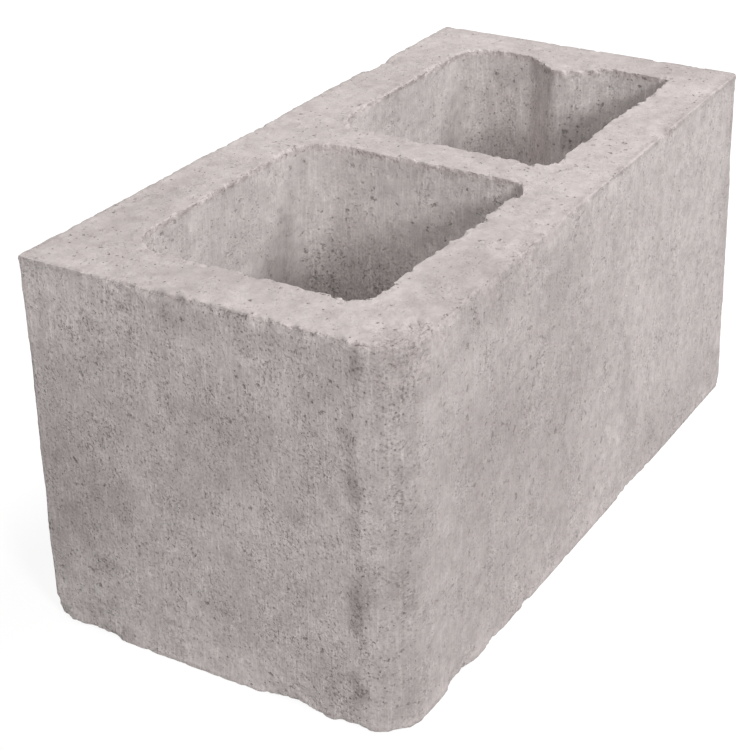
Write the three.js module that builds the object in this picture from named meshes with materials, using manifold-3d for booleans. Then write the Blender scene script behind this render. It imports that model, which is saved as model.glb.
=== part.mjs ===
// Concrete block with two cores, cast as one piece.
// Millimetres, +Z up, length along X, width along Y. The block lies on its lower bed face at
// z = 0, with the origin under the middle of its length and width.
//
// One outer vertical corner is a bullnose. Both cores narrow on the way down, as the mould leaves
// them, and a ridge runs down the inner face of the far end wall.

import * as THREE from 'three';
import Module from 'manifold-3d';

// ---- The block outside ----------------------------------------------------------------------

const blockLength = 400;
const blockWidth = 200;
const blockHeight = 200;
const bullnoseRadius = 24;
const squareCornerRadius = 3;
const arrisRadius = 1.5;

// ---- Walls round the cores, as thick as they are just under the upper bed face ---------------

const nearEndWall = 34.5;
const farEndWall = 27.5;
const webThickness = 25;
const frontShell = 35.5;
const backShell = 33;

// ---- The cores -------------------------------------------------------------------------------

const frontCornerRadius = 12;
const backCornerRadius = 22;
const tightCornerRadius = 5;
const coreDraft = 2;
const coreRimRadius = 1.5;

// ---- The ridge on the inner face of the far end wall, with its middle across the width --------

const ridgeMiddle = -2;
const ridgeDepth = 16;
const ridgeRootWidth = 50;
const ridgeCrestWidth = 8;
const ridgeCrestRadius = 6;
const ridgeRootRadius = 8;

// ---- How finely round stretches are divided, and how far a cut runs past a face ---------------

const cornerSteps = 10;
const edgeSteps = 4;
const cutOvershoot = 1;

// ---- Outlines in plan ------------------------------------------------------------------------

// One corner of an outline, rounded by its own radius. Outlines run counterclockwise.
function corner(x, y, radius) {
  return { point: new THREE.Vector2(x, y), radius };
}

function neighbours(corners, index) {
  return {
    before: corners.at(index - 1).point,
    after: corners[(index + 1) % corners.length].point,
  };
}

function outwardNormal(from, to) {
  const along = to.clone().sub(from).normalize();
  return new THREE.Vector2(along.y, -along.x);
}

// Moves every side of an outline outwards by one distance. The radius of an outer corner grows
// with it, and that of a corner that points inwards shrinks.
function offsetOutline(corners, distance) {
  return corners.map(({ point, radius }, index) => {
    const { before, after } = neighbours(corners, index);
    const normalBefore = outwardNormal(before, point);
    const normalAfter = outwardNormal(point, after);
    const shift = normalBefore.clone().add(normalAfter);
    shift.multiplyScalar(distance / (1 + normalBefore.dot(normalAfter)));
    const turn = Math.sign(normalBefore.cross(normalAfter));
    const smallestRadius = 0.1;
    return {
      point: point.clone().add(shift),
      radius: Math.max(radius + turn * distance, smallestRadius),
    };
  });
}

// Replaces every corner of an outline by an arc that touches both its sides. An arc takes less
// than half of either side.
function roundOutline(corners) {
  const pivot = new THREE.Vector2(0, 0);
  const largestShare = 0.49;
  return corners.flatMap(({ point, radius }, index) => {
    const { before, after } = neighbours(corners, index);
    const back = before.clone().sub(point);
    const forth = after.clone().sub(point);
    const room = largestShare * Math.min(back.length(), forth.length());
    back.normalize();
    forth.normalize();
    const halfAngle = Math.acos(back.dot(forth)) / 2;
    const reach = Math.min(radius / Math.tan(halfAngle), room);
    const centreDistance = reach / Math.cos(halfAngle);
    const inwards = back.clone().add(forth).normalize();
    const centre = point.clone().addScaledVector(inwards, centreDistance);
    const arm = point.clone().addScaledVector(back, reach).sub(centre);
    const sweep = Math.sign(forth.cross(back)) * (Math.PI - 2 * halfAngle);
    return Array.from({ length: cornerSteps + 1 }, (_, step) => {
      const turned = arm.clone().rotateAround(pivot, (sweep * step) / cornerSteps);
      return turned.add(centre);
    });
  });
}

const endX = blockLength / 2;
const sideY = blockWidth / 2;

const blockOutline = [
  corner(-endX, -sideY, bullnoseRadius),
  corner(endX, -sideY, squareCornerRadius),
  corner(endX, sideY, squareCornerRadius),
  corner(-endX, sideY, squareCornerRadius),
];

// The cores are equally long: they share what the end walls and the web leave of the length.
const coreLength = (blockLength - nearEndWall - webThickness - farEndWall) / 2;
const coreFront = -sideY + frontShell;
const coreBack = sideY - backShell;

const nearCoreStart = -endX + nearEndWall;
const nearCoreEnd = nearCoreStart + coreLength;

const nearCoreOutline = [
  corner(nearCoreStart, coreFront, frontCornerRadius),
  corner(nearCoreEnd, coreFront, frontCornerRadius),
  corner(nearCoreEnd, coreBack, backCornerRadius),
  corner(nearCoreStart, coreBack, backCornerRadius),
];

const farCoreStart = nearCoreEnd + webThickness;
const farCoreEnd = endX - farEndWall;
const ridgeCrest = farCoreEnd - ridgeDepth;

const farCoreOutline = [
  corner(farCoreStart, coreFront, frontCornerRadius),
  corner(farCoreEnd, coreFront, tightCornerRadius),
  corner(farCoreEnd, ridgeMiddle - ridgeRootWidth / 2, ridgeRootRadius),
  corner(ridgeCrest, ridgeMiddle - ridgeCrestWidth / 2, ridgeCrestRadius),
  corner(ridgeCrest, ridgeMiddle + ridgeCrestWidth / 2, ridgeCrestRadius),
  corner(farCoreEnd, ridgeMiddle + ridgeRootWidth / 2, ridgeRootRadius),
  corner(farCoreEnd, coreBack, backCornerRadius),
  corner(farCoreStart, coreBack, backCornerRadius),
];

// ---- Levels between the bed faces ------------------------------------------------------------

// Heights from the lower to the upper bed face, and how far an outline is moved outwards at each.
// Both ends are rounded by a quarter circle. It opens outwards where bulge is 1, as the rim of a
// core does, and closes in where bulge is -1, as the block's own edges do.
function roundedLevels(radius, bulge) {
  const lower = Array.from({ length: edgeSteps + 1 }, (_, step) => {
    const angle = ((Math.PI / 2) * step) / edgeSteps;
    return {
      height: radius * (1 - Math.cos(angle)),
      grow: bulge * radius * (1 - Math.sin(angle)),
    };
  });
  const upper = lower.map(({ height, grow }) => ({ height: blockHeight - height, grow }));
  return [...lower, ...upper.reverse()];
}

// The levels of a core: rounded rims, walls that lean in on the way down, and ends that run past
// both bed faces.
function coreLevels() {
  const rimmed = roundedLevels(coreRimRadius, 1);
  const leaning = rimmed.map(({ height, grow }) => {
    const lean = coreDraft * (1 - height / blockHeight);
    return { height, grow: grow - lean };
  });
  const lowest = { height: -cutOvershoot, grow: leaning.at(0).grow };
  const highest = { height: blockHeight + cutOvershoot, grow: leaning.at(-1).grow };
  return [lowest, ...leaning, highest];
}

// ---- Solids ----------------------------------------------------------------------------------

// A closed body that passes through one outline at several levels.
function loft(corners, levels) {
  const rings = levels.map(({ grow }) => roundOutline(offsetOutline(corners, grow)));
  const ringSize = rings[0].length;
  const positions = rings.flatMap((ring, level) => {
    const { height } = levels[level];
    return ring.flatMap(({ x, y }) => [x, y, height]);
  });
  const triangles = [];
  for (let level = 0; level + 1 < rings.length; level += 1) {
    for (let index = 0; index < ringSize; index += 1) {
      const lower = level * ringSize + index;
      const lowerNext = level * ringSize + ((index + 1) % ringSize);
      const upper = lower + ringSize;
      const upperNext = lowerNext + ringSize;
      triangles.push(lower, lowerNext, upperNext, lower, upperNext, upper);
    }
  }
  const topStart = ringSize * (rings.length - 1);
  for (const [a, b, c] of THREE.ShapeUtils.triangulateShape(rings.at(0), [])) {
    triangles.push(a, c, b);
  }
  for (const [a, b, c] of THREE.ShapeUtils.triangulateShape(rings.at(-1), [])) {
    triangles.push(topStart + a, topStart + b, topStart + c);
  }
  const geometry = new THREE.BufferGeometry();
  geometry.setAttribute('position', new THREE.Float32BufferAttribute(positions, 3));
  geometry.setIndex(triangles);
  return geometry;
}

const wasm = await Module();
wasm.setup();

function toSolid(geometry) {
  const vertProperties = new Float32Array(geometry.getAttribute('position').array);
  const triVerts = new Uint32Array(geometry.getIndex().array);
  return new wasm.Manifold(new wasm.Mesh({ numProp: 3, vertProperties, triVerts }));
}

function toGeometry(solid) {
  const { vertProperties, triVerts } = solid.getMesh();
  const geometry = new THREE.BufferGeometry();
  geometry.setAttribute('position', new THREE.BufferAttribute(vertProperties, 3));
  geometry.setIndex(new THREE.BufferAttribute(triVerts, 1));
  return geometry;
}

function makeBlock() {
  const nearCore = toSolid(loft(nearCoreOutline, coreLevels()));
  const farCore = toSolid(loft(farCoreOutline, coreLevels()));
  const outside = toSolid(loft(blockOutline, roundedLevels(arrisRadius, -1)));
  return toGeometry(outside.subtract(nearCore).subtract(farCore));
}

// ---- The part --------------------------------------------------------------------------------

const concrete = new THREE.MeshStandardMaterial({
  color: 0xc8c0bd,
  roughness: 0.95,
  metalness: 0,
  flatShading: true,
});

const block = new THREE.Mesh(makeBlock(), concrete);
block.name = 'block';

const part = new THREE.Group();
part.add(block);

export default part;
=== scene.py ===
"""A cast concrete block with two cores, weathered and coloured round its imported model.

Metres, +Z up, length along X. The block stands on its lower bed face at z = 0. Its bullnose corner
is at -X -Y, and the end wall with the inner ridge is at +X. Sculpting works in millimetres.
"""

import math
from types import SimpleNamespace

import bpy
import numpy as np
from mathutils import Matrix, Vector, noise
from mathutils.bvhtree import BVHTree


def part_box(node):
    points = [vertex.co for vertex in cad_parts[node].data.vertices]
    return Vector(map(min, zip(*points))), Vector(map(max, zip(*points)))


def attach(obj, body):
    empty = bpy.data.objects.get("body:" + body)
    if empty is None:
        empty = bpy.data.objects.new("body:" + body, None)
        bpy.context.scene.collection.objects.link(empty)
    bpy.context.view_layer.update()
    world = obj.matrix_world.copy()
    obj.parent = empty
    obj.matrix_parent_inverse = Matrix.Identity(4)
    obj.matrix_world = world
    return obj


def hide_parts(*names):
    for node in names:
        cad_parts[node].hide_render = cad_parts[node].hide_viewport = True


MM = 0.001

# ---- Sculpting, in millimetres -----------------------------------------------------------------

VOXEL = 0.95
MOST_TRIANGLES = 192_000

# Rounds of smoothing: of the whole mesh, and of its normals.
SOFTENING_ROUNDS = 2
NORMAL_ROUNDS = 4

# The ridge is softened more than the rest. That sets in between the two values of each pair: along
# X, in from the far end face, and in from a bed face. It fades out between those of the last pair,
# either side of the ridge's middle.
RIDGE_ROUNDS = 60
RIDGE_MIDDLE = -2
RIDGE_ALONG = (148, 153)
RIDGE_FROM_END = (10, 16)
RIDGE_FROM_BED = (2, 8)
RIDGE_ASIDE = (30, 36)

# An edge is what stands out from the mesh smoothed over many rounds, and it counts in full where it
# stands out by the exposure. It belongs to a core where it is set in from the block's sides, and
# runs down a corner or the ridge where it is off the bed faces.
EDGE_ROUNDS = 14
EDGE_EXPOSURE = 0.6
CORE_INSET = (14, 18)
OFF_BED = (5, 12)

# Each noise of the sculpting and the marks: the size of its largest features, its octaves, and a
# shift that sets it apart from the others.
SWELL = (60, 2, 0.0)
DIMPLES = (15, 2, 11.0)
WAVES = (34, 2, 23.0)
BITES = (10, 3, 31.0)
CRUMBS = (4.6, 3, 47.0)
CRUMBLING = (5.5, 3, 67.0)
RAGGEDNESS = (8, 3, 59.0)
DRIFTS = ((11, 3, 5.0), (11, 3, 15.0), (11, 3, 25.0))
ARRIS_DIRT = (5, 2, 91.0)

# Where the noises of the bites and of the arris dirt begin to count, and where they do in full.
BITTEN = (0.05, 0.4)
DIRTY = (0.1, 0.5)

# What every face has lost, and how much the swell and the dimples add to it or take off.
FACE_LOSS = 0.3
SWELL_DEPTH = 0.4
DIMPLE_DEPTH = 0.12

# What each kind of edge has lost: all along, and by its waves, bites and crumbs. It gains where the
# sum is negative, as a rounded edge does that is made sharper.
RIM_WEAR = (-1.3, 1.0, 1.4, 2.0)
ARRIS_WEAR = (-1.2, 0.4, 0.5, 0.5)
CORNER_WEAR = (-1.0, 0.9, 0.0, 0.5)

# Stretches of edge that crumbled: middle, reach along X, Y and Z, and depth. The loss fades out
# between two shares of the reach, and noise varies it round a share of the depth.
CRUMBLED_FADE = (0.5, 1.0)
CRUMBLED_SHARE = 0.7
CRUMBLED = (
    ((-200, 8, 200), (12, 80, 9), 1.3),
    ((-200, -20, 200), (14, 100, 10), 1.7),
    ((-186, -92, 200), (34, 28, 12), 2.2),
    ((-90, -100, 200), (110, 12, 9), 1.2),
)

# Places that lost more than their edge did, or less where the depth is negative: middle, reach and
# depth. Off the edges a place loses a share of its depth. It fades out between two shares of its
# reach, with a ragged outline, and is as rough as what it has lost, up to a limit.
DAMAGE_FADE = (0.15, 1.0)
DAMAGE_OFF_EDGES = 0.35
DAMAGE_RAGGED = 0.3
DAMAGE_ROUGH = 0.38
DAMAGE_ROUGH_LIMIT = 2
DAMAGE = (
    # lower edge of the near end face, from its far corner to the bullnose
    ((-200, 100, 0), 15, 4.6),
    ((-200, 74, 0), 22, 3.0),
    ((-200, -42, 0), 22, 3.6),
    ((-200, -76, 0), 14, 1.8),
    # lower edge of the long face
    ((-143, -100, 0), 20, 3.4),
    ((-106, -100, 0), 14, 1.4),
    ((-72, -100, 0), 6, 1.6),
    ((60, -100, 0), 26, 1.2),
    ((200, -100, 0), 9, 1.6),
    # upper edge of the near end face
    ((-200, 24, 200), 7, 2.4),
    ((-200, 13, 200), 6, 2.4),
    ((-200, -33, 200), 7, 2.4),
    ((-200, -46, 200), 6, 1.8),
    # upper edge of the bullnose
    ((-186, -93, 200), 24, 6.0),
    ((-166, -100, 200), 16, 3.4),
    # upper edge of the long face
    ((-153, -100, 200), 9, 2.8),
    ((-116, -100, 200), 16, 3.0),
    ((-84, -100, 200), 18, 3.4),
    ((-50, -100, 200), 14, 2.4),
    ((20, -100, 200), 12, 1.8),
    ((90, -100, 200), 12, 1.8),
    # upper edge of the back face
    ((-20, 100, 200), 40, 0.8),
    ((115, 100, 200), 22, 2.4),
    # upper edge of the far end face
    ((200, 24, 200), 12, 0.8),
    # front rims of both cores
    ((-20, -66, 200), 12, 2.6),
    ((-60, -66, 200), 6, 1.2),
    ((-82, -66, 200), 6, 1.2),
    ((-130, -64, 200), 40, -1.4),
    ((50, -64, 200), 34, -1.4),
    ((100, -64, 200), 34, -1.0),
    # rim of the far core, where the ridge starts
    ((165, -8, 200), 10, 2.4),
    ((170, -26, 200), 9, 1.6),
)

# How far the top of the far end leans in, at the back and in front. Halfway down and halfway along
# it is a quarter of that, and the lower bed and the near end stand true.
BACK_LEAN = 4.5
FRONT_LEAN = 6.0
# Where across the width the front's lean has faded out: at the cores' front walls.
FRONT_HELD = -64

# ---- Marks for the material, in millimetres ----------------------------------------------------

# Where the material changes: it looks worn by what was lost, and takes on a core's colour in from
# the bed faces. An edge is dirty in from both its faces, all along and in spots.
WORN_LOSS = (0.9, 2.4)
CORE_FROM_BED = (2, 6)
ARRIS_REACH = (1, 3.5)
ARRIS_STAIN = 0.14
ARRIS_SPOTS = 0.36

# Stains and painted shade: middle, reach along X, Y and Z, and strength, which is negative where
# painted light lightens the skin.
# Their outlines wander, and they fade out between two shares of their reach.
STAIN_AND_SHADE_DRIFT = 3.0
STAIN_AND_SHADE_FADE = (0.1, 1.0)
STAINS_AND_SHADE = (
    # down the seam between the near end face and the bullnose: dirt, and painted shade of a crease
    ((-200, -77, 102), (8, 5, 108), 0.35),
    ((-200, -78, 190), (8, 6, 12), 0.75),
    ((-200, -74, 155), (8, 6, 14), 0.45),
    ((-200, -77, 128), (8, 6, 11), 0.75),
    ((-200, -79, 63), (8, 6, 30), 0.7),
    ((-200, -78, 23), (8, 6, 14), 0.8),
    # near end face
    # painted shade: a band across the near end face at mid height
    ((-200, 10, 130), (10, 130, 60), 0.25),
    ((-200, -20, 190), (8, 90, 14), 0.28),
    ((-200, 63, 82), (10, 26, 26), 0.3),
    # painted shade under the upper rim of the bullnose
    ((-197, -82, 186), (12, 14, 18), 0.4),
    ((-197, -82, 74), (12, 12, 24), 0.3),
    ((-200, -62, 24), (10, 24, 26), 0.35),
    ((-200, -56, 168), (10, 26, 32), 0.25),
    ((-200, 88, 90), (10, 40, 90), 0.35),
    # painted light: the foot of the near end face made lighter
    ((-200, 5, 0), (12, 85, 44), -0.35),
    ((-200, 82, 67), (10, 18, 16), 0.35),
    ((-200, 95, 44), (10, 12, 24), 0.3),
    ((-200, 88, 93), (10, 9, 14), 0.3),
    ((-200, 52, 88), (10, 9, 18), 0.35),
    ((-200, 47, 73), (10, 12, 8), 0.25),
    ((-200, 61, 118), (10, 14, 9), 0.25),
    ((-200, 62, 44), (10, 8, 8), 0.3),
    ((-200, 81, 146), (10, 7, 7), 0.3),
    ((-200, 0, 147), (10, 11, 9), 0.28),
    ((-200, -8, 134), (10, 10, 7), 0.25),
    ((-200, 16, 143), (10, 6, 7), 0.25),
    ((-200, -35, 150), (10, 8, 9), 0.3),
    ((-200, 4, 171), (10, 5, 10), 0.25),
    ((-200, -66, 172), (10, 6, 9), 0.25),
    ((-200, -10, 111), (10, 8, 8), 0.2),
    ((-200, 12, 93), (10, 10, 7), 0.3),
    ((-200, -46, 105), (10, 12, 5), 0.25),
    ((-200, -2, 40), (10, 7, 5), 0.25),
    # bullnose
    # painted shade over the whole bullnose
    ((-193, -93, 100), (20, 20, 125), 0.5),
    ((-188, -92, 184), (34, 30, 34), 0.5),
    ((-188, -94, 16), (30, 28, 44), 0.4),
    ((-196, -86, 165), (6, 6, 7), 0.3),
    ((-188, -94, 160), (6, 6, 10), 0.25),
    ((-188, -94, 118), (6, 6, 10), 0.25),
    # long face
    # painted shade over most of the long face
    ((-97, -100, 98), (190, 10, 150), 0.42),
    ((-40, -100, 169), (42, 10, 24), 0.3),
    ((-134, -100, 192), (6, 8, 6), 0.5),
    ((-143, -100, 176), (4, 8, 11), 0.35),
    ((-125, -100, 45), (5, 8, 5), 0.6),
    ((-178, -100, 109), (5, 8, 12), 0.25),
    ((-129, -100, 136), (7, 8, 10), 0.25),
    ((-83, -100, 68), (6, 8, 6), 0.25),
    ((-39, -100, 32), (6, 8, 6), 0.3),
    ((48, -100, 80), (9, 8, 34), 0.35),
    ((58, -100, 39), (14, 8, 14), 0.25),
    ((86, -100, 25), (10, 8, 9), 0.25),
    ((26, -100, 158), (8, 8, 26), 0.2),
    ((86, -100, 153), (7, 8, 10), 0.25),
    ((110, -100, 16), (120, 10, 34), 0.25),
    ((-105, -100, 188), (80, 10, 22), 0.35),
    ((200, -100, 130), (40, 10, 100), 0.2),
    # upper bed face, in front and at the back of the near core
    # painted shade: the near front of the upper bed face darker
    ((-130, -84, 200), (62, 24, 10), 0.3),
    ((-110, 86, 200), (70, 20, 10), 0.2),
    ((188, -60, 200), (26, 60, 10), 0.25),
    # painted shade in both cores: on the far core's end wall beside the ridge, on the web and
    # walls, and low down
    ((172, 46, 120), (9, 34, 110), 0.35),
    ((172, -46, 110), (9, 26, 110), 0.35),
    ((172, 0, 110), (20, 80, 110), 0.15),
    ((-8, 42, 125), (12, 34, 70), 0.25),
    ((-8, 10, 70), (10, 55, 80), 0.7),
    ((-90, 67, 150), (90, 10, 90), 0.2),
)

# ---- Concrete ----------------------------------------------------------------------------------

OUTER_COLOUR = (0.718, 0.652, 0.635)
INNER_COLOUR = (0.70, 0.651, 0.636)
# What the colour comes down to where its tone is 0: dark spots are warmer than light ones.
DEEPEST_COLOUR = (0.03, 0.0, 0.0)
ROUGHNESS = 0.95
SPECULAR = 0.2

# Grains: the size of their largest features in millimetres, their detail and, where it isn't 0.5,
# their roughness.
BLOTCHES = (48, 3)
PATCHES = (12, 3)
MOTTLING = (7, 4, 0.66)
STAIN_AND_SHADE_GRAIN = (3.5, 3, 0.6)
SAND = (1.3, 3, 0.7)
STREAKS = (1.0, 2)
# Where most of a grain's values lie, and where nearly all of them do.
MIDDLE = (0.3, 0.7)
WHOLE = (0.25, 0.75)

# Flecks: their size, the size of the places where they gather, and from what value of their noise
# and up to what value they come out.
SMUDGES = (3.0, 20, 0.5, 0.68)
LIGHT_GRAINS = (1.3, 10, 0.58, 0.78)
SMALL_PITS = (1.6, 12, 0.55, 0.75)
LARGE_PITS = (4.0, 30, 0.65, 0.73)
# Pinholes: how far apart they are, and how wide the widest is.
PINHOLES = (3.2, 1.3)

# How much of its height a pattern is read at: streaks are drawn out long, and patches a little.
STREAK_SHARE = 0.07
PATCH_SHARE = 0.4

# Depths of the bump, in millimetres.
MOTTLING_DEPTH = 0.4
SAND_DEPTH = 0.12
STREAK_DEPTH = 0.03
PIT_DEPTH = 0.4

# ---- Floor and light ---------------------------------------------------------------------------

# The floor lights the block with its colour. To the camera it glows white, and shows the shadow as
# faintly as its shadow colour is dark.
FLOOR_SIZE = 24.0
FLOOR_COLOUR = (0.35, 0.35, 0.35)
FLOOR_SHADOW = (0.3, 0.3, 0.3)
FLOOR_GLOW = 0.85
SKY_STRENGTH = 0.22
LAMP_AIM = Vector((0.0, 0.0, 0.15))
LAMP_DISTANCE = 2.4
# Each lamp's bearing from +X towards +Y, its elevation, its size in metres and its watts.
LAMPS = (
    (math.radians(-30), math.radians(50), 0.9, 37.0),
    (math.radians(-125), math.radians(24), 0.5, 20.8),
    (math.radians(-160), math.radians(30), 0.5, 9.7),
)

# ---- Camera, with its lens and sensor in millimetres -------------------------------------------

CAMERA_PLACE = Vector((-0.7576, -0.4203, 0.5326))
CAMERA_AZIMUTH = math.radians(-59.23)
CAMERA_ELEVATION = math.radians(27.98)
CAMERA_ROLL = math.radians(-0.63)
CAMERA_LENS = 86.20
CAMERA_SENSOR = 36.0


def evaluated_mesh(piece, modifier_type, **settings):
    """The piece's mesh after one modifier, which is then taken off again."""
    modifier = piece.modifiers.new("step", modifier_type)
    for name, value in settings.items():
        setattr(modifier, name, value)
    graph = bpy.context.evaluated_depsgraph_get()
    mesh = bpy.data.meshes.new_from_object(piece.evaluated_get(graph))
    piece.modifiers.remove(modifier)
    return mesh


def read(collection, attribute, width, kind=np.float64):
    """One attribute of a mesh's vertices or edges, as an array with a row for each."""
    values = np.empty(len(collection) * width, kind)
    collection.foreach_get(attribute, values)
    return values.reshape(-1, width)


def move(mesh, points):
    """Puts the mesh's vertices at these points, which are in millimetres."""
    mesh.vertices.foreach_set("co", (points * MM).ravel())
    mesh.update()


def noise_at(points, size, octaves, shift):
    """Smooth noise round 0, mostly within -1 to 1, with its largest features of one size."""
    rows = (points / size + shift).tolist()
    return np.array([noise.fractal(row, 1.0, 2.0, octaves) for row in rows])


def ramp(values, low, high):
    """Rises smoothly from 0 at low to 1 at high."""
    share = np.clip((values - low) / (high - low), 0, 1)
    return share * share * (3 - 2 * share)


def insets(points, box):
    """How far each point is in from the nearest side of the box, and from its nearer bed face."""
    lowest, highest = box
    inward = np.minimum(highest - points, points - lowest)
    return inward[:, :2].min(axis=1), inward[:, 2]


def smoothed(points, edges, rounds):
    """The points after each has moved half way to the mean of its neighbours, several times."""
    ends = edges.ravel()
    others = edges[:, ::-1].ravel()
    share = 1 / np.bincount(ends, minlength=len(points))
    for _ in range(rounds):
        sums = [np.bincount(ends, points[others, axis], len(points)) for axis in range(3)]
        points = (points + np.stack(sums, axis=1) * share[:, None]) / 2
    return points


def ridge_share(points, box):
    """1 on the ridge, and 0 away from it."""
    _, highest = box
    _, from_bed = insets(points, box)
    along, across, _ = points.T
    share = ramp(along, *RIDGE_ALONG) * ramp(from_bed, *RIDGE_FROM_BED)
    share *= ramp(highest[0] - along, *RIDGE_FROM_END)
    return share * (1 - ramp(np.abs(across - RIDGE_MIDDLE), *RIDGE_ASIDE))


def worn_depth(points, edge, crumbs, box):
    """What faces lost by being slightly uneven, and edges by waves, bites and crumbs."""
    inset, from_bed = insets(points, box)
    at_bed = 1 - ramp(from_bed, *OFF_BED)
    inner = ramp(inset, *CORE_INSET)
    kinds = (
        (edge * at_bed * inner, RIM_WEAR),
        (edge * at_bed * (1 - inner), ARRIS_WEAR),
        (edge * (1 - at_bed), CORNER_WEAR),
    )
    waves = noise_at(points, *WAVES)
    bites = ramp(noise_at(points, *BITES), *BITTEN)
    depth = FACE_LOSS + SWELL_DEPTH * noise_at(points, *SWELL)
    depth += DIMPLE_DEPTH * noise_at(points, *DIMPLES)
    for share, (everywhere, by_waves, by_bites, by_crumbs) in kinds:
        worn = everywhere + by_waves * waves + by_bites * bites + by_crumbs * crumbs
        depth += share * worn
    return depth


def add_damage(depth, points, edge, crumbs):
    """Adds to the depth what crumbled stretches and damaged places have lost."""
    crumbling = noise_at(points, *CRUMBLING)
    for middle, reach, most in CRUMBLED:
        near = np.linalg.norm((points - middle) / reach, axis=1)
        fading = 1 - ramp(near, *CRUMBLED_FADE)
        depth += most * fading * edge * (CRUMBLED_SHARE + crumbling)
    ragged = 1 + DAMAGE_RAGGED * noise_at(points, *RAGGEDNESS)
    by_edge = DAMAGE_OFF_EDGES + (1 - DAMAGE_OFF_EDGES) * edge
    for middle, reach, most in DAMAGE:
        near = np.linalg.norm(points - middle, axis=1) * ragged / reach
        lost = most * (1 - ramp(near, *DAMAGE_FADE)) * by_edge
        depth += lost + DAMAGE_ROUGH * crumbs * np.minimum(lost, DAMAGE_ROUGH_LIMIT)


def weather(mesh, box):
    """Wears the mesh down from its clean shape, and keeps it inside the box."""
    edges = read(mesh.edges, "vertices", 2, np.int32)
    points = smoothed(read(mesh.vertices, "co", 3) / MM, edges, SOFTENING_ROUNDS)
    move(mesh, points)
    normals = read(mesh.vertices, "normal", 3)
    softer = smoothed(points, edges, RIDGE_ROUNDS)
    points += (softer - points) * ridge_share(points, box)[:, None]

    exposure = ((points - smoothed(points, edges, EDGE_ROUNDS)) * normals).sum(axis=1)
    edge = np.clip(exposure / EDGE_EXPOSURE, 0, 1)
    crumbs = noise_at(points, *CRUMBS)
    depth = worn_depth(points, edge, crumbs, box)
    add_damage(depth, points, edge, crumbs)

    normals = smoothed(normals, edges, NORMAL_ROUNDS)
    normals /= np.linalg.norm(normals, axis=1)[:, None]
    move(mesh, np.clip(points - normals * depth[:, None], *box))


def lean(mesh, box):
    """Leans the top of the far end in, and keeps the mesh inside the box."""
    lowest, highest = box
    points = read(mesh.vertices, "co", 3) / MM
    along, _, up = ((points - lowest) / (highest - lowest)).T
    back = np.clip(points[:, 1] / highest[1], 0, 1)
    front = np.clip((points[:, 1] - FRONT_HELD) / (lowest[1] - FRONT_HELD), 0, 1)
    points[:, 1] += along * up * (FRONT_LEAN * front - BACK_LEAN * back)
    move(mesh, np.clip(points, *box))


def stains_and_shade(points, inset, from_bed):
    """How much stains, painted shade and dirty edges darken each point, and below 0 where painted
    light makes the skin lighter.
    """
    drift = [STAIN_AND_SHADE_DRIFT * noise_at(points, *one) for one in DRIFTS]
    points = points + np.stack(drift, axis=1)
    unmarked = np.ones(len(points))
    for middle, reach, strength in STAINS_AND_SHADE:
        away = np.linalg.norm((points - middle) / reach, axis=1)
        unmarked *= 1 - strength * (1 - ramp(away, *STAIN_AND_SHADE_FADE))
    arris = (1 - ramp(inset, *ARRIS_REACH)) * (1 - ramp(from_bed, *ARRIS_REACH))
    dirt = ARRIS_STAIN + ARRIS_SPOTS * ramp(noise_at(points, *ARRIS_DIRT), *DIRTY)
    unmarked *= 1 - arris * dirt
    return 1 - unmarked


def mark(mesh, clean, box):
    """Tells the material how worn each vertex is, how stained or painted with shade, and if it is
    inside a core.
    """
    places = read(mesh.vertices, "co", 3)
    tree = BVHTree.FromPolygons(
        [vertex.co for vertex in clean.vertices],
        [polygon.vertices for polygon in clean.polygons],
    )
    lost = np.array([tree.find_nearest(place)[3] for place in places.tolist()]) / MM
    points = places / MM
    inset, from_bed = insets(points, box)
    layers = {
        "worn": ramp(lost, *WORN_LOSS),
        "stain_and_shade": stains_and_shade(points, inset, from_bed),
        "inner": ramp(inset, *CORE_INSET) * ramp(from_bed, *CORE_FROM_BED),
    }
    for name, values in layers.items():
        layer = mesh.attributes.new(name, "FLOAT", "POINT")
        layer.data.foreach_set("value", values.astype(np.float32))


def add_node(tree, kind, inputs=None, **settings):
    """Adds one node. An input that is given as a socket is linked, and any other value is set."""
    made = tree.nodes.new("ShaderNode" + kind)
    for name, value in settings.items():
        setattr(made, name, value)
    for key, value in (inputs or {}).items():
        if isinstance(value, bpy.types.NodeSocket):
            tree.links.new(value, made.inputs[key])
        else:
            made.inputs[key].default_value = value
    return made


def calculated(tree, operation, *values):
    """The result of a Math node."""
    return add_node(tree, "Math", dict(enumerate(values)), operation=operation).outputs[0]


def product(tree, first, *others):
    """All the values multiplied."""
    for other in others:
        first = calculated(tree, "MULTIPLY", first, other)
    return first


def total(tree, first, *others):
    """All the values added up."""
    for other in others:
        first = calculated(tree, "ADD", first, other)
    return first


def mapped(tree, value, low, high, to_low, to_high):
    """The value moved from one range to another, and held inside the other."""
    inputs = {0: value, 1: low, 2: high, 3: to_low, 4: to_high}
    return add_node(tree, "MapRange", inputs).outputs[0]


def between(tree, share, at_none, at_all):
    """One value where the share is 0 and another where it is 1."""
    return mapped(tree, share, 0.0, 1.0, at_none, at_all)


def flattened(tree, place, share):
    """The place with its height multiplied by a share, which draws a pattern out upwards."""
    inputs = {0: place, 1: (1, 1, share)}
    return add_node(tree, "VectorMath", inputs, operation="MULTIPLY").outputs[0]


def grain(tree, place, size, detail, roughness=0.5):
    """A noise of about 0.3 to 0.7 with its largest features of one size in millimetres."""
    inputs = {"Vector": place, "Scale": 1 / size, "Detail": detail, "Roughness": roughness}
    return add_node(tree, "TexNoise", inputs).outputs[0]


def flecks(tree, place, size, spread, low, high):
    """Ragged spots, 1 in their middles and 0 between them, that gather in some places."""
    gathered = mapped(tree, grain(tree, place, spread, 2), *MIDDLE, -0.05, 0.05)
    value = total(tree, grain(tree, place, size, 3, 0.55), gathered)
    return mapped(tree, value, low, high, 0.0, 1.0)


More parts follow.
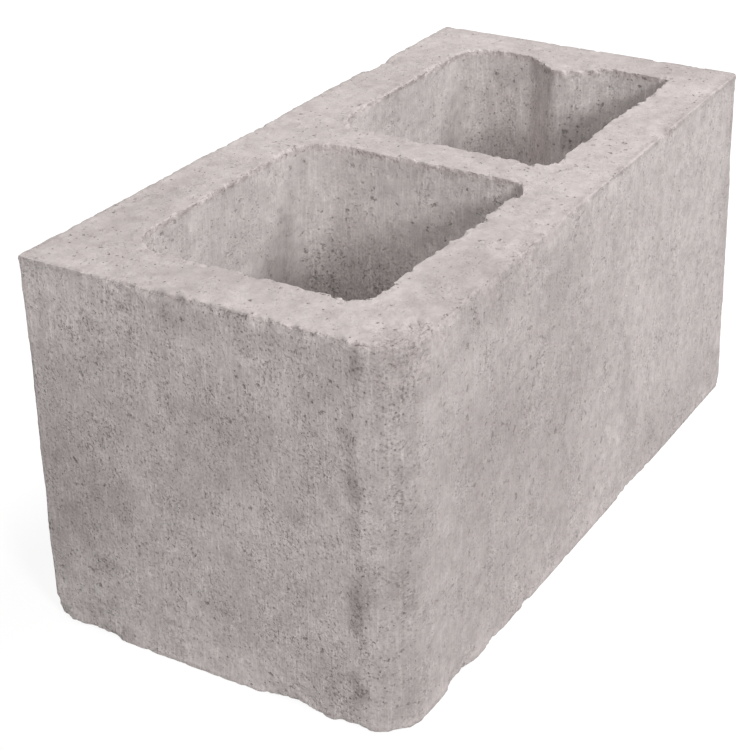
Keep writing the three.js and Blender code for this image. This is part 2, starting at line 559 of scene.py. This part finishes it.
def pinholes(tree, place, spacing, widest):
    """Scattered round holes of all sizes up to the widest, 1 in their middles and 0 outside."""
    noise_inputs = {"Vector": place, "Scale": 1 / widest, "Detail": 2.0}
    wobble = add_node(tree, "TexNoise", noise_inputs).outputs[1]
    apart = add_node(tree, "VectorMath", {0: wobble, "Scale": widest / 2}, operation="SCALE")
    warped = add_node(tree, "VectorMath", {0: place, 1: apart.outputs[0]}).outputs[0]
    cells = add_node(tree, "TexVoronoi", {"Vector": warped, "Scale": 1 / spacing}).outputs
    chance = add_node(tree, "SeparateXYZ", {0: cells["Color"]}).outputs[0]
    reach = mapped(tree, chance, 0.3, 1.0, 0.001, widest / 2 / spacing)
    return mapped(tree, calculated(tree, "DIVIDE", cells["Distance"], reach), 0.5, 1.0, 1.0, 0.0)


def surface_at(tree):
    """What the concrete depends on: the place in millimetres, how the face lies, and the marks."""
    coordinates = add_node(tree, "TexCoord").outputs["Object"]
    to_millimetres = {0: coordinates, "Scale": 1 / MM}
    place = add_node(tree, "VectorMath", to_millimetres, operation="SCALE").outputs[0]
    facing = add_node(tree, "NewGeometry").outputs["Normal"]
    along, _, up = add_node(tree, "SeparateXYZ", {0: facing}).outputs
    upright = mapped(tree, calculated(tree, "ABSOLUTE", up), 0.3, 0.7, 1.0, 0.0)
    across = mapped(tree, calculated(tree, "ABSOLUTE", along), 0.3, 0.7, 0.0, 1.0)
    lengthways = calculated(tree, "SUBTRACT", 1.0, across)
    return SimpleNamespace(
        place=place,
        height=add_node(tree, "SeparateXYZ", {0: place}).outputs[2],
        half_drawn=flattened(tree, place, PATCH_SHARE),
        upright=upright,
        across=across,
        beside=product(tree, lengthways, upright),
        calmed=between(tree, upright, 0.65, 1.0),
        worn=add_node(tree, "Attribute", attribute_name="worn").outputs["Fac"],
        stain_and_shade=add_node(tree, "Attribute", attribute_name="stain_and_shade").outputs["Fac"],
        inner=add_node(tree, "Attribute", attribute_name="inner").outputs["Fac"],
    )


def grit_share(tree, at):
    """How open and gritty the skin is: in patches, where worn, stained or painted with shade, and
    deep in the cores.

    The end faces and the web are grittier than the sides, and the bed faces are calmest.
    """
    patches = mapped(tree, grain(tree, at.half_drawn, *PATCHES), 0.42, 0.64, 0.0, 1.0)
    on_ends = between(tree, at.across, 0.17, 0.52)
    in_cores = between(tree, at.inner, 1.0, 0.6)
    low_down = mapped(tree, at.height, 110, 160, 1.0, 0.0)
    return total(
        tree,
        product(tree, on_ends, in_cores, at.calmed),
        product(tree, patches, at.calmed, between(tree, at.across, 0.5, 0.4)),
        product(tree, at.worn, 0.3),
        product(tree, at.stain_and_shade, 0.3),
        product(tree, at.inner, low_down, at.across, 0.8),
    )


def pitting(tree, at, grit):
    """Pits: small ones where the skin is gritty, and pinholes and large ones all over."""
    small = flecks(tree, at.place, *SMALL_PITS)
    large = flecks(tree, at.place, *LARGE_PITS)
    holes = calculated(tree, "MAXIMUM", pinholes(tree, at.place, *PINHOLES), large)
    holes = product(tree, holes, between(tree, at.beside, 1.0, 0.7))
    return calculated(tree, "MAXIMUM", product(tree, small, grit), holes)


def concrete():
    """Dry cast concrete: blotched, sandy and pitted, with drag streaks on its upright faces."""
    made = bpy.data.materials.new("concrete")
    made.use_nodes = True
    tree = made.node_tree
    at = surface_at(tree)
    grit = grit_share(tree, at)
    pits = pitting(tree, at, grit)

    blotches = grain(tree, at.place, *BLOTCHES)
    mottling = grain(tree, at.place, *MOTTLING)
    sand = mapped(tree, grain(tree, at.place, *SAND), *WHOLE, -1.0, 1.0)
    sanded = product(tree, sand, grit)
    light_grains = product(tree, flecks(tree, at.half_drawn, *LIGHT_GRAINS), grit)
    smudges = product(tree, flecks(tree, at.place, *SMUDGES), at.beside)
    streaks = grain(tree, flattened(tree, at.place, STREAK_SHARE), *STREAKS)
    drawn = product(tree, at.upright, between(tree, at.across, 0.6, 1.0))
    streaked = product(tree, drawn, mapped(tree, streaks, *WHOLE, -1.0, 1.0))
    light_lines = product(tree, drawn, mapped(tree, streaks, 0.57, 0.72, 0.0, 1.0))
    stain_and_shade_depth = mapped(tree, grain(tree, at.place, *STAIN_AND_SHADE_GRAIN), *MIDDLE, 0.3, 0.65)
    staining_and_shade = product(tree, at.stain_and_shade, stain_and_shade_depth)

    # How light each pattern leaves the concrete, from its lowest value to its highest.
    tone = product(
        tree,
        mapped(tree, blotches, *MIDDLE, 0.93, 1.07),
        mapped(tree, mottling, *MIDDLE, 0.85, 1.15),
        mapped(tree, sanded, -1.0, 1.0, 0.70, 1.30),
        mapped(tree, streaked, -1.0, 1.0, 0.935, 1.065),
        between(tree, light_lines, 1.0, 1.12),
        between(tree, light_grains, 1.0, 1.3),
        between(tree, smudges, 1.0, 0.9),
        between(tree, pits, 1.0, 0.5),
        # painted shade: upright faces a tenth darker than the beds
        between(tree, at.upright, 0.9, 1.0),
        between(tree, at.worn, 1.0, 0.93),
        # stains, with painted shade and painted light
        calculated(tree, "SUBTRACT", 1.0, staining_and_shade),
    )
    skins = {"Factor": at.inner, "A": OUTER_COLOUR, "B": INNER_COLOUR}
    hue = add_node(tree, "Mix", skins, data_type="VECTOR")
    tones = {"Factor": tone, "A": DEEPEST_COLOUR, "B": hue.outputs[1]}
    colour = add_node(tree, "Mix", tones, data_type="VECTOR", clamp_factor=False)

    height = total(
        tree,
        product(tree, mottling, MOTTLING_DEPTH, at.calmed),
        product(tree, sanded, SAND_DEPTH),
        product(tree, streaked, STREAK_DEPTH),
        product(tree, pits, -PIT_DEPTH),
    )
    bump = add_node(tree, "Bump", {"Height": height, "Distance": MM, "Strength": 1.0})

    shader = tree.nodes["Principled BSDF"]
    shader.inputs["Roughness"].default_value = ROUGHNESS
    shader.inputs["Specular IOR Level"].default_value = SPECULAR
    tree.links.new(colour.outputs[1], shader.inputs["Base Color"])
    tree.links.new(bump.outputs[0], shader.inputs["Normal"])
    return made


def seen_directly(tree):
    """1 for what the camera sees straight, in a mirror or through glass, and 0 for other rays."""
    path = add_node(tree, "LightPath")
    rays = [path.outputs[f"Is {kind} Ray"] for kind in ("Camera", "Glossy", "Transmission")]
    return calculated(tree, "MINIMUM", total(tree, *rays), 1.0)


def make_floor():
    """A floor that looks white, with the block's shadow faint on it, and lights as a grey one."""
    mesh = bpy.data.meshes.new("floor")
    far = FLOOR_SIZE / 2
    corners = [(-far, -far, 0), (far, -far, 0), (far, far, 0), (-far, far, 0)]
    mesh.from_pydata(corners, [], [(0, 1, 2, 3)])
    floor = bpy.data.objects.new("floor", mesh)
    bpy.context.scene.collection.objects.link(floor)

    material = bpy.data.materials.new("floor")
    material.use_nodes = True
    tree = material.node_tree
    tree.nodes.clear()
    plain = add_node(tree, "BsdfDiffuse", {"Color": (*FLOOR_COLOUR, 1)})
    faint = add_node(tree, "BsdfDiffuse", {"Color": (*FLOOR_SHADOW, 1)})
    glow = add_node(tree, "Emission", {"Strength": FLOOR_GLOW})
    white = add_node(tree, "AddShader", {0: faint.outputs[0], 1: glow.outputs[0]})
    mixed = add_node(
        tree, "MixShader", {0: seen_directly(tree), 1: plain.outputs[0], 2: white.outputs[0]}
    )
    add_node(tree, "OutputMaterial", {"Surface": mixed.outputs[0]})
    mesh.materials.append(material)


def make_light():
    """Soft light from all round and three large lamps, with a white sky for the camera."""
    world = bpy.data.worlds.new("studio")
    bpy.context.scene.world = world
    world.use_nodes = True
    tree = world.node_tree
    strength = mapped(tree, seen_directly(tree), 0.0, 1.0, SKY_STRENGTH, 1.0)
    tree.links.new(strength, tree.nodes["Background"].inputs["Strength"])
    tree.nodes["Background"].inputs["Color"].default_value = (1, 1, 1, 1)

    for bearing, elevation, size, power in LAMPS:
        data = bpy.data.lights.new("lamp", "AREA")
        data.shape = "DISK"
        data.size = size
        data.energy = power
        lamp = bpy.data.objects.new("lamp", data)
        level = Vector((math.cos(bearing), math.sin(bearing), 0)) * math.cos(elevation)
        away = level + Vector((0, 0, math.sin(elevation)))
        lamp.location = LAMP_AIM + away * LAMP_DISTANCE
        lamp.rotation_euler = away.to_track_quat("Z", "Y").to_euler()
        bpy.context.scene.collection.objects.link(lamp)


def make_camera():
    """The camera that took the photo, as its fit to the block's edges gives it."""
    data = bpy.data.cameras.new("camera")
    data.sensor_width = CAMERA_SENSOR
    data.lens = CAMERA_LENS
    camera = bpy.data.objects.new("camera", data)
    bpy.context.scene.collection.objects.link(camera)
    camera.matrix_world = (
        Matrix.Translation(CAMERA_PLACE)
        @ Matrix.Rotation(CAMERA_AZIMUTH, 4, "Z")
        @ Matrix.Rotation(math.pi / 2 - CAMERA_ELEVATION, 4, "X")
        @ Matrix.Rotation(CAMERA_ROLL, 4, "Z")
    )
    bpy.context.scene.camera = camera


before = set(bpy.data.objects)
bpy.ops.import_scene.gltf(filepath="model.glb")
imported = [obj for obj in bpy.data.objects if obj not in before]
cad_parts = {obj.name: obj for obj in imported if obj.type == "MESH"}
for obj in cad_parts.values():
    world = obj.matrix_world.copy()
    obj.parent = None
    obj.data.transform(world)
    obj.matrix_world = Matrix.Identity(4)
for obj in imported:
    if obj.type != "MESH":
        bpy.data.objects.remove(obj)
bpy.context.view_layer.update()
box = [np.array(corner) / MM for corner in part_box("block")]

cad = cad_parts["block"]
piece = bpy.data.objects.new("concrete_block", cad.data.copy())
bpy.context.scene.collection.objects.link(piece)
piece.data = evaluated_mesh(piece, "REMESH", mode="VOXEL", voxel_size=VOXEL * MM)
weather(piece.data, box)
triangles = 2 * len(piece.data.polygons)
piece.data = evaluated_mesh(piece, "DECIMATE", ratio=MOST_TRIANGLES / triangles)
mark(piece.data, cad.data, box)
lean(piece.data, box)
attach(piece, "root")
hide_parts("block")

piece.data.materials.clear()
piece.data.materials.append(concrete())
make_floor()
make_light()
make_camera()
bpy.context.scene.view_settings.view_transform = "Standard"
